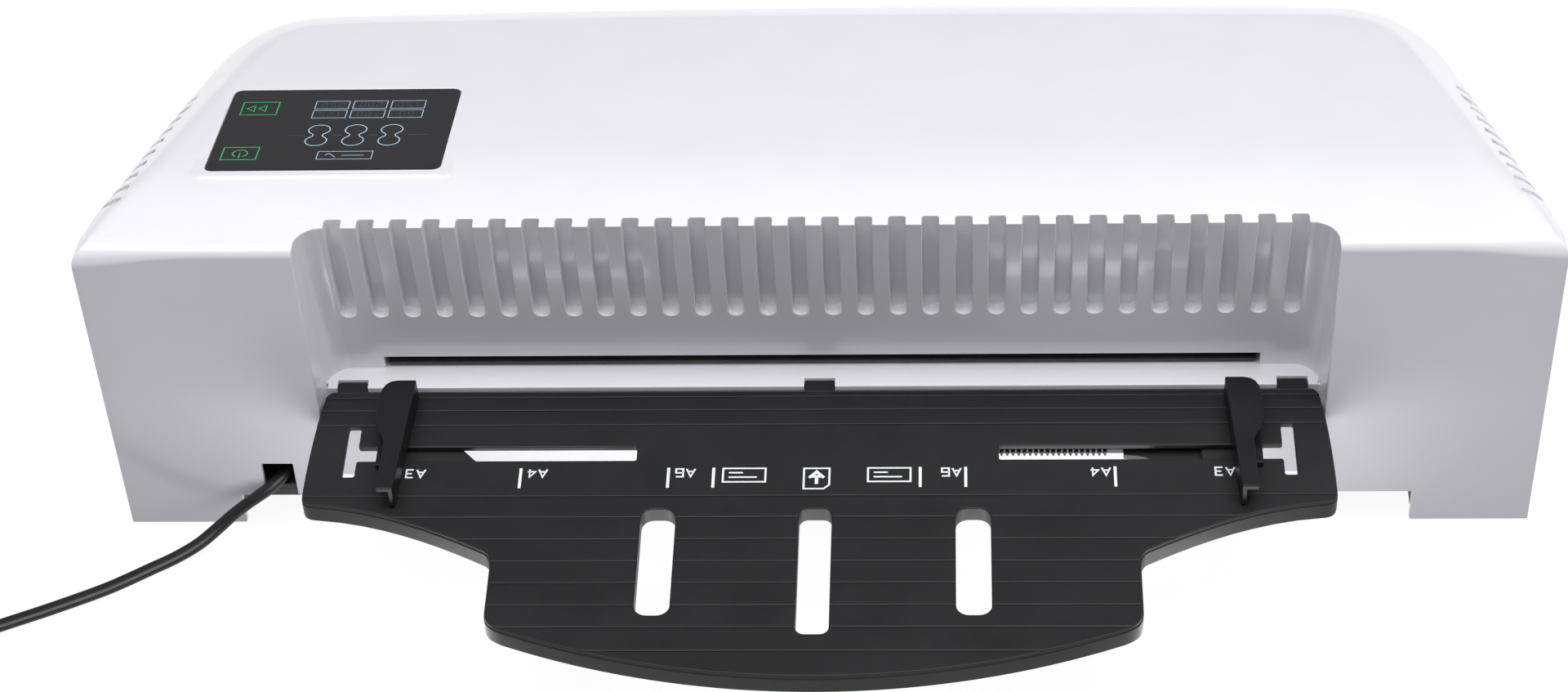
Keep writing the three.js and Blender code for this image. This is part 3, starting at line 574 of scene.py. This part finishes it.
def casing_body(inset, bottom):
    right = half_outline()
    left = [(-x, y, -dx, dy, r) for x, y, dx, dy, r in right[1:-1]]
    loop = right + left[::-1]
    n = len(loop)
    points = [(x + dx * inset, y + dy * inset, bottom) for x, y, dx, dy, r in loop]
    for k in range(ROUND_STEPS + 1):
        angle = math.pi / 2 * k / ROUND_STEPS
        for x, y, dx, dy, r in loop:
            radius = max(r - inset, 1.0)
            reach = inset + radius * (1 - math.cos(angle))
            py = y + dy * reach
            points.append((x + dx * reach, py, top_height(py) - inset - radius * (1 - math.sin(angle))))
    faces = [tuple(reversed(range(n)))]
    for k in range(ROUND_STEPS + 1):
        faces += side_faces(n, k * n, (k + 1) * n)
    ring = (ROUND_STEPS + 1) * n
    half = len(right) - 1
    far = half - FAR_POINTS
    front = [ring + (i % n) for i in range(-FRONT_POINTS, FRONT_POINTS + 1)]
    right_side = [ring + i for i in range(FRONT_POINTS, far + 1)]
    back = [ring + i for i in range(half + FAR_POINTS, far - 1, -1)]
    left_side = [ring + ((-i) % n) for i in range(FRONT_POINTS, far + 1)]
    grid = [front]
    flat = [Vector(p) for p in points]
    low_left, low_right = flat[front[0]], flat[front[-1]]
    high_left, high_right = flat[back[0]], flat[back[-1]]
    for j in range(1, len(left_side) - 1):
        a, b = flat[left_side[j]], flat[right_side[j]]
        v = (a.y - low_left.y) / (high_left.y - low_left.y)
        row = [left_side[j]]
        for i in range(1, len(front) - 1):
            u = (flat[front[i]].x - low_left.x) / (low_right.x - low_left.x)
            p = flat[front[i]] * (1 - v) + flat[back[i]] * v
            p += (a - low_left * (1 - v) - high_left * v) * (1 - u) + (
                b - low_right * (1 - v) - high_right * v) * u
            row.append(len(points))
            points.append((p.x, p.y, top_height(p.y) - inset))
        row.append(right_side[j])
        grid.append(row)
    grid.append(back)
    for low, high in zip(grid, grid[1:]):
        faces += [(low[i], low[i + 1], high[i + 1], high[i]) for i in range(len(low) - 1)]
    return mesh_from([place(p) for p in points], faces)


def loft(levels):
    """A closed solid through plan loops at rising heights: [(z, loop), ...]."""
    n = len(levels[0][1])
    points = [place((x, y, z)) for z, loop in levels for x, y in loop]
    faces = end_faces(n, len(points))
    for k in range(len(levels) - 1):
        faces += side_faces(n, k * n, (k + 1) * n)
    return mesh_from(points, faces)


def bar_x(polygon, x0, x1):
    """A closed bar along X over a (y, z) polygon."""
    n = len(polygon)
    points = [place((x, y, z)) for x in (x0, x1) for y, z in polygon]
    return mesh_from(points, end_faces(n, 2 * n) + side_faces(n, 0, n))


def recess_tool():
    def plan(back, radius):
        side = [(181.2, -30), (181.0, 0), (181.0 - 0.12 * (back - radius), back - radius)]
        centre = (side[-1][0] - radius, back - radius)
        arc = [
            (centre[0] + radius * math.cos(math.radians(a)), centre[1] + radius * math.sin(math.radians(a)))
            for a in range(9, 91, 9)
        ]
        half = side + arc
        return half + [(-x, y) for x, y in half[::-1]]

    low, high = plan(10.3, 0.8), plan(wall_y(62), 9)
    return loft([(-5, low), (62, low), (62, high), (150, plan(wall_y(150), 9))])


def groove_tool(x):
    lean = math.atan(WALL_LEAN)
    up = Vector((0, -math.sin(lean), math.cos(lean)))
    out = Vector((0, -math.cos(lean), -math.sin(lean)))
    base = Vector((x, wall_y(94), 94))
    half = GROOVE_WIDTH / 2
    loop = [(half, 60), (-half, 60)]
    for a in range(0, 181, 18):
        loop.append((-half * math.cos(math.radians(a)), -half * math.sin(math.radians(a))))
    points = [
        base + Vector((a, 0, 0)) + up * b + out * c for c in (-GROOVE_DEPTH, 6) for a, b in loop
    ]
    n = len(loop)
    return mesh_from([place(p) for p in points], end_faces(n, 2 * n) + side_faces(n, 0, n))


def rounded(x0, x1, y0, y1, radius, steps=6):
    corners = [
        (x1 - radius, y0 + radius, -90), (x1 - radius, y1 - radius, 0),
        (x0 + radius, y1 - radius, 90), (x0 + radius, y0 + radius, 180),
    ]
    loop = []
    for cx, cy, start in corners:
        for k in range(steps + 1):
            angle = math.radians(start + 90 * k / steps)
            loop.append((cx + radius * math.cos(angle), cy + radius * math.sin(angle)))
    return loop


def on_display(u, v, w):
    """A point of the display's plane: u across, v up the slope, w above it, in millimetres."""
    y = WINDOW_Y + v * math.cos(SLOPE_ANGLE) + w * math.sin(SLOPE_ANGLE)
    z = top_height(WINDOW_Y) - v * math.sin(SLOPE_ANGLE) + w * math.cos(SLOPE_ANGLE)
    return place((WINDOW_X + u, y, z))


def display_loft(levels):
    """A closed solid standing on the display's plane: [(w, half width, half length, corner radius), ...]."""
    loops = [(w, rounded(-a, a, -b, b, r)) for w, a, b, r in levels]
    n = len(loops[0][1])
    points = [on_display(u, v, w) for w, loop in loops for u, v in loop]
    faces = end_faces(n, len(points))
    for k in range(len(loops) - 1):
        faces += side_faces(n, k * n, (k + 1) * n)
    return mesh_from(points, faces)


def off_the_pad(edge):
    """False for the edges of the raised pad round the display, which fade into the top."""
    middle = (edge.verts[0].co + edge.verts[1].co) / 2 / MM
    across = abs(middle.x - WINDOW_X) - WINDOW_WIDTH / 2
    along = abs(middle.y - SHIFT_Y - WINDOW_Y) / math.cos(SLOPE_ANGLE) - WINDOW_LENGTH / 2
    return middle.z < 110 or max(across, along) > 9 or max(across, along) < 1.5


def make_casing():
    a, b = WINDOW_WIDTH / 2, WINDOW_LENGTH / 2
    pad = display_loft(
        [(-6, a + 6, b + 6, 5), (-1, a + 6, b + 6, 5), (-0.1, a + 4.5, b + 4.5, 4)]
    )
    body = boolean(casing_body(0, 1.5), pad, "UNION")
    void = casing_body(2.8, -3)
    back = lambda z: wall_y(z) + 7
    void = boolean(void, bar_x([
        (-5, -20), (13.1, -20), (13.1, 59.2), (wall_y(62), 59.2), (back(62), 62),
        (back(138), 138), (-5, 150),
    ], -183.8, 183.8), "DIFFERENCE")
    under_pad = display_loft([(-5, a + 4.5, b + 4.5, 4), (9, a + 4.5, b + 4.5, 4)])
    void = boolean(void, under_pad, "DIFFERENCE")
    body = boolean(body, void, "DIFFERENCE")
    body = boolean(body, recess_tool(), "DIFFERENCE")
    cutters = [groove_tool((i - (GROOVES - 1) / 2) * GROOVE_PITCH) for i in range(GROOVES)]
    cutters += [
        block(-162, 162, 190, 205, 61, 70),
        block(-215.7, 215.7, -5, 205, -5, 16.3),
        display_loft([(-2.3, a + 0.25, b + 0.25, 3.2), (5, a + 0.25, b + 0.25, 3.2)]),
    ]
    louvres = []
    for side in (-1, 1):
        for i in range(10):
            y = 27 + 9.2 * i
            inner = 259 - (y - 8) * 19 / 138 - 11
            low, high = sorted((side * inner, side * 262))
            louvres.append(block(low, high, y, y + 3.4, top_height(y) - 52, 145))
    cutters.append(boolean(joined(louvres), casing_body(2.0, 1.5), "DIFFERENCE"))
    body = boolean(body, joined(cutters), "DIFFERENCE")
    cable_notch = block(-206.2, -194.6, -5, 5, 12, 32.8)
    board_hole = display_loft([(-12, a - 4, b - 4, 1), (-1, a - 4, b - 4, 1)])
    body = boolean(body, joined([cable_notch, board_hole]), "DIFFERENCE")
    bevel_sharp(body, 0.55 * MM, 2, keep=off_the_pad)
    pockets = [block(x - 5.6, x + 5.6, 5, 14.4, 57.7, 63) for x in (-170, 0, 170)]
    pockets.append(block(-158.8, 158.8, 16, 40, 61.95, 68.6))
    body = boolean(body, joined(pockets), "DIFFERENCE")
    casing = new_object("casing_shell", body, "casing", "machine", "casing_white", 30)
    stand_for(casing, "top_cover")


make_casing()


# ---- Tray ----
def outline_curve(start, moves, steps):
    """A plan loop from moves: ("line", point) and ("curve", a, b, end), a cubic Bezier."""
    loop = [start]
    for kind, *points in moves:
        if kind == "line":
            loop.append(points[0])
            continue
        a, b, c, d = loop[-1], *points
        for i in range(1, steps + 1):
            t = i / steps
            weights = ((1 - t) ** 3, 3 * t * (1 - t) ** 2, 3 * t * t * (1 - t), t**3)
            controls = list(zip(weights, (a, b, c, d)))
            loop.append(tuple(sum(w * p[k] for w, p in controls) for k in (0, 1)))
    return loop


TRAY_REACH = 126
NEAR_RADIUS = 284


def tray_outline():
    """The tray's right half, from the far edge's middle to the near edge's, then mirrored."""
    right = outline_curve((0, 9.3), [
        ("line", (175, 9.3)),
        ("curve", (177.6, 9.3), (179.2, 8.2), (179.6, 6)),
        ("curve", (181.3, -6), (182.2, -22), (182.2, -40)),
        ("curve", (182.2, -45.6), (181, -46.9), (176.5, -47.3)),
        ("curve", (152, -49.4), (129, -61.5), (115.6, -68.9)),
        ("curve", (113.4, -70.2), (112.5, -72), (112.5, -77)),
        ("line", (112.5, -95)),
        ("curve", (112.5, -101.5), (111, -103), (106, -105.5)),
    ], 9)
    centre = NEAR_RADIUS - TRAY_REACH
    last = math.asin(106 / NEAR_RADIUS)
    for i in range(1, 25):
        angle = last * (1 - i / 24)
        right.append((NEAR_RADIUS * math.sin(angle), centre - NEAR_RADIUS * math.cos(angle)))
    return right + [(-x, y) for x, y in right[-2:0:-1]]


def plate(loops, low, high, rim):
    """A flat plate with round rims from plan loops: the first is the outline, the others are holes."""
    curve = bpy.data.curves.new("plate", "CURVE")
    curve.dimensions = "2D"
    curve.fill_mode = "BOTH"
    curve.extrude = (high - low) / 2 * MM - rim * MM
    curve.bevel_depth = rim * MM
    curve.bevel_resolution = 3
    curve.offset = -rim * MM
    for loop in loops:
        spline = curve.splines.new("POLY")
        spline.points.add(len(loop) - 1)
        for point, (x, y) in zip(spline.points, loop):
            point.co = (x * MM, (y + SHIFT_Y) * MM, 0, 1)
        spline.use_cyclic_u = True
    obj = bpy.data.objects.new("plate", curve)
    bpy.context.scene.collection.objects.link(obj)
    graph = bpy.context.evaluated_depsgraph_get()
    mesh = bpy.data.meshes.new_from_object(obj.evaluated_get(graph))
    bpy.data.objects.remove(obj)
    mesh.transform(Matrix.Translation((0, 0, (low + high) / 2 * MM)))
    bm = bmesh.new()
    bm.from_mesh(mesh)
    bmesh.ops.remove_doubles(bm, verts=bm.verts, dist=WELD)
    bmesh.ops.recalc_face_normals(bm, faces=bm.faces)
    bm.to_mesh(mesh)
    bm.free()
    return mesh


TRAY_TOP = 61.5
STEP_LINES = [
    8.6, 6.1, -0.5, -7.9, -42.7, -52.8, -63.2, -73.5, -83.4, -93.6, -103.5, -114.1,
]
STEP_HEIGHT = 0.42
STEP_RISER = 0.55
STEP_SHARES = (0.0, 0.3, 0.6, 0.85, 1.0)


def tray_height(y):
    """The tray's shingled top: each strip climbs towards the feed side and drops at the next line."""
    edges = [12.0, *STEP_LINES, -126.5]
    for far, near in zip(edges, edges[1:]):
        if y > near + 1e-6:
            if far < 12 and y > far - STEP_RISER:
                share = (far - y) / STEP_RISER
                return TRAY_TOP - STEP_HEIGHT * (1 - math.sqrt(max(0, 1 - share * share)))
            return TRAY_TOP - (STEP_HEIGHT * (y - near) / (far - near) if far < 12 else 0)
    return TRAY_TOP


def shingled(mesh):
    """Cuts the plate along every step line and lowers its top to follow them."""
    bm = bmesh.new()
    bm.from_mesh(mesh)
    for line in STEP_LINES:
        for y in (line - STEP_RISER * share for share in STEP_SHARES):
            bmesh.ops.bisect_plane(
                bm, geom=bm.verts[:] + bm.edges[:] + bm.faces[:], dist=1e-7,
                plane_co=(0, (y + SHIFT_Y) * MM, 0), plane_no=(0, 1, 0),
            )
    for vert in bm.verts:
        share = (vert.co.z / MM - (TRAY_TOP - 1.2)) / 1.2
        if share > 0:
            vert.co.z -= (TRAY_TOP - tray_height(vert.co.y / MM - SHIFT_Y)) * MM * share
    bm.to_mesh(mesh)
    bm.free()
    return mesh


def guide_slot(side):
    corners = [
        (64.3, -25.7), (164.4, -25.7), (164.4, -33.5), (168.8, -33.5),
        (168.8, -8.6), (164.4, -8.6), (164.4, -18.9), (64.3, -18.9),
    ]
    loop = []
    for i, (x, y) in enumerate(corners):
        before, after = Vector(corners[i - 1]), Vector(corners[(i + 1) % len(corners)])
        here = Vector((x, y))
        a = here + (before - here).normalized() * 0.9
        b = here + (after - here).normalized() * 0.9
        for t in (0, 0.33, 0.67, 1):
            loop.append(tuple(a * (1 - t) ** 2 + here * 2 * t * (1 - t) + b * t * t))
    return [(side * x, y) for x, y in loop]


def shrunk(loop, distance):
    points = [Vector(p) for p in loop]
    area = sum(a.x * b.y - b.x * a.y for a, b in zip(points, points[1:] + points[:1]))
    turn = 1 if area > 0 else -1
    result = []
    for i, p in enumerate(points):
        along = (points[(i + 1) % len(points)] - points[i - 1]).normalized()
        result.append((p.x - along.y * distance * turn, p.y + along.x * distance * turn))
    return result


def make_tray():
    outline = tray_outline()
    fingers = [
        rounded(x - w / 2, x + w / 2, y0, -49.3, r)
        for x, w, y0, r in ((-55, 12.2, -98.4, 4.5), (0, 11.4, -106.8, 3.2), (55, 12.2, -98.4, 4.5))
    ]
    holes = fingers + [guide_slot(-1), guide_slot(1)]
    parts = [shingled(plate([shrunk(outline, 0.35), *holes], 59, TRAY_TOP, 0.5))]
    parts.append(plate([outline, shrunk(outline, 2.2)], 53, 60.3, 0.8))
    for hole in fingers:
        parts.append(plate([shrunk(hole, -1.6), hole], 55, 59.6, 0.3))
    for x in (-170, 0, 170):
        parts.append(plate([rounded(x - 5.3, x + 5.3, 6, 14, 0.6)], 58.4, TRAY_TOP - 0.1, 0.4))
    tray = new_object("tray_plate", joined(parts), "tray", "tray", "tray_black", 40)
    stand_for(tray, "feed_tray")
    refined("rack_cover", 0.0003)
    for side in ("left", "right"):
        refined(f"guide_rack_{side}", 0.00008, segments=1)
        refined(f"guide_{side}", 0.00045, segments=3)
    refined("guide_pinion", 0.00008, segments=1)


make_tray()


# ---- Printed lines: thin raised strokes ----
def stroke_mesh(lines, width, thick, to_surface):
    """Closed strips along polylines of (x, y) millimetres; to_surface(x, y, lift) gives the point."""
    points, faces = [], []
    for line in lines:
        line = [Vector(p) for p in line]
        closed = (line[0] - line[-1]).length < 1e-6
        if closed:
            line = line[:-1]
        n = len(line)
        first = len(points)
        for i, p in enumerate(line):
            before = line[i - 1] if i or closed else p
            after = line[(i + 1) % n] if i + 1 < n or closed else p
            a, b = (p - before), (after - p)
            a = a.normalized() if a.length else b.normalized()
            b = b.normalized() if b.length else a
            normal = Vector((-(a.y + b.y), a.x + b.x))
            normal = normal.normalized() * (width / 2 / max(0.5, normal.length / 2))
            for lift in (-0.05, thick):
                for sign in (1, -1):
                    q = p + normal * sign
                    points.append(to_surface(q.x, q.y, lift))
        for i in range(n if closed else n - 1):
            a, b = first + 4 * i, first + 4 * ((i + 1) % n)
            faces += [(a, a + 1, b + 1, b), (a + 2, b + 2, b + 3, a + 3)]
            faces += [(a, b, b + 2, a + 2), (a + 1, a + 3, b + 3, b + 1)]
        if not closed:
            last = first + 4 * (n - 1)
            faces.append((first, first + 2, first + 3, first + 1))
            faces.append((last, last + 1, last + 3, last + 2))
    return mesh_from(points, faces)


def arc(x, y, radius, start, end, steps=20):
    return [
        (x + radius * math.cos(math.radians(start + (end - start) * i / steps)),
         y + radius * math.sin(math.radians(start + (end - start) * i / steps)))
        for i in range(steps + 1)
    ]


def frame_line(x0, x1, y0, y1):
    return [(x0, y0), (x1, y0), (x1, y1), (x0, y1), (x0, y0)]


GLYPHS = {
    "0": [[(0, 0), (1, 0), (1, 2), (0, 2), (0, 0)]],
    "1": [[(0.2, 1.6), (0.6, 2), (0.6, 0)]],
    "2": [[(0, 2), (1, 2), (1, 1), (0, 1), (0, 0), (1, 0)]],
    "3": [[(0, 2), (1, 2), (1, 1), (0.2, 1)], [(1, 1), (1, 0), (0, 0)]],
    "4": [[(0.8, 0), (0.8, 2), (0, 0.6), (1.1, 0.6)]],
    "5": [[(1, 2), (0, 2), (0, 1), (1, 1), (1, 0), (0, 0)]],
    "6": [[(1, 2), (0, 2), (0, 0), (1, 0), (1, 1), (0, 1)]],
    "8": [[(0, 0), (1, 0), (1, 2), (0, 2), (0, 0)], [(0, 1), (1, 1)]],
    "A": [[(0, 0), (0.6, 2), (1.2, 0)], [(0.2, 0.65), (1.0, 0.65)]],
}


def text_lines(text, x, y, height, pitch, wide):
    """Strokes of a short size mark, read from the far side of the machine."""
    scale = height / 2
    lines = []
    for i, letter in enumerate(text):
        for line in GLYPHS[letter]:
            lines.append(
                [(x - (i * pitch + a) * scale * wide, y - b * scale) for a, b in line]
            )
    return lines


def make_tray_marks():
    on_tray = lambda x, y, lift: place((x, y, tray_height(y) + lift))
    ticks, letters = [], []
    for side in (-1, 1):
        for distance, label in ((148.5, "A3"), (105, "A4"), (52.5, "A6"), (36.5, "")):
            x = side * distance
            ticks.append([(x, -29.5), (x, -39.3)])
            if label:
                start = x + 9.4 if side < 0 else x - 1.7
                letters += text_lines(label, start, -30.1, 3.8, 1.7, 1.3)
        inner = side * 36.5 - side * 3.4
        low, high = sorted((inner, inner - side * 15))
        letters.append(frame_line(low, high, -36.5, -29.9))
        letters.append([(low + 2, -32), (low + 7, -32)])
        letters.append([(low + 2, -34.2), (high - 3, -34.2)])
    letters.append(
        [(-4.5, -39.9), (2.6, -39.9), (4.5, -38), (4.5, -30), (-4.5, -30), (-4.5, -39.9)]
    )
    arrow = [
        [(0, -37.6), (0, -34.2)], [(-2.6, -34.6), (0, -31.7), (2.6, -34.6)],
        [(-1.4, -34), (1.4, -34)],
    ]
    marks = joined([
        stroke_mesh(ticks, 1.05, 0.03, on_tray), stroke_mesh(letters, 0.7, 0.03, on_tray),
        stroke_mesh(arrow, 1.2, 0.03, on_tray),
    ])
    new_object("tray_marks", marks, "white", "tray", "tray_black")


def make_display():
    a, b = WINDOW_WIDTH / 2, WINDOW_LENGTH / 2
    mesh = display_loft([
        (-2, a, b, 3), (-0.25, a, b, 3), (-0.05, a - 0.08, b - 0.08, 2.95),
        (0, a - 0.3, b - 0.3, 2.8),
    ])
    window = new_object("display_glass", mesh, "window", "machine", "display_black", 30)
    stand_for(window, "display_window")

    def on_window(x, y, lift):
        return on_display(x - WINDOW_X, (y - WINDOW_Y) / math.cos(SLOPE_ANGLE), lift)

    keys = [frame_line(-214, -201.2, 53.5, 63.3), frame_line(-213.3, -200, 89.6, 100)]
    keys.append(arc(-207.6, 58.4, 2.7, -60, 240))
    keys.append([(-207.6, 58.6), (-207.6, 54.6)])
    for shift in (0, 4.2):
        x = -208.6 + shift
        keys.append([(x, 97.2), (-212 + shift + 0.6, 94.8), (x, 92.4), (x, 97.2)])
    digits, numbers = [], []
    for x in (-181.7, -168.3, -155.1):
        digits += [arc(x, 76.9, 3.9, -58, 238, 30), arc(x, 68.1, 3.9, 122, 418, 30)]
        digits.append([(x - 2.05, 73.6), (x - 1.7, 72.5), (x - 2.05, 71.4)])
        digits.append([(x + 2.05, 73.6), (x + 1.7, 72.5), (x + 2.05, 71.4)])
    labels = [frame_line(-179.3, -159.5, 53.4, 59.5)]
    labels.append([(-176.5, 56.6), (-175.2, 58), (-172.6, 54.8)])
    labels.append([(-170.5, 56.4), (-162.5, 56.4)])
    rows = (("80", "100", "125"), ("150", "200", "250"))
    for j, row in enumerate(rows):
        for i, text in enumerate(row):
            x1 = -145.7 - 14.1 * i
            y0 = 86.6 + 7.6 * j
            labels.append(frame_line(x1 - 12.4, x1, y0, y0 + 6.2))
            start = x1 - (3.4 if len(text) == 2 else 2.0)
            numbers += text_lines(text, start, y0 + 4.7, 3.2, 1.75, 1.1)
    dashes = [
        [(start, 72.5), (end, 72.5)]
        for start, end in ((-192, -186.5), (-150, -141.5), (-176.8, -173), (-163.5, -159.8))
    ]
    ink = [
        ("display_keys", keys, 0.36, "green"), ("display_digits", digits, 0.34, "blue"),
        ("display_labels", labels, 0.24, "blue"), ("display_numbers", numbers, 0.24, "faint"),
        ("display_line", dashes, 0.4, "faint"),
    ]
    for name, lines, width, material in ink:
        strokes = stroke_mesh(lines, width, 0.02, on_window)
        new_object(name, strokes, material, "machine", "display_black")


def make_entry_lips():
    """The dark entry guide, with a rounded upper and lower lip that fill the feed slot's mouth."""
    def lip(z0, z1, reach):
        return bar_x([
            (33.6, z0), (reach + 1, z0), (reach + 0.3, z0 + 0.3), (reach, (z0 + z1) / 2),
            (reach + 0.3, z1 - 0.3), (reach + 1, z1), (33.6, z1),
        ], -157.6, 157.6)

    bars = [(-166.8, 166.8, 57, 62.6), (-166.8, 166.8, 68.2, 75)]
    ends = [(-166.8, -158.4, 62.5, 68.3), (158.4, 166.8, 62.5, 68.3)]
    border = [block(x0, x1, 28.5, 33.7, z0, z1) for x0, x1, z0, z1 in bars + ends]
    mesh = joined([*border, lip(62.75, 64.1, 21.2), lip(66.4, 67.9, 22.6)])
    guide = new_object("entry_lips", mesh, "heat", "machine", "guide_heat_resistant", 40)
    stand_for(guide, "entry_guide")


make_tray_marks()
make_display()
make_entry_lips()


# ---- The rest of the hard parts, with softened edges ----
SMALL_PARTS = ("gear_plastic", "bush_brass", "shaft_steel", "motor_steel")
for name, node in frame["nodes"].items():
    if node.hide_render or node_slot[name] in ("roller_silicone", "spring_steel"):
        continue
    fine = node_slot[name] in SMALL_PARTS
    refined(name, 0.00012 if fine else 0.0003, segments=1 if fine else 2)

for name, node in frame["nodes"].items():
    if not node.hide_render:
        node.material_slots[0].material = paint[SLOT_PAINT[node_slot[name]]]

size = {"cad": [list(corner) for corner in cad_box], "visual": [list(corner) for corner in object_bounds()]}
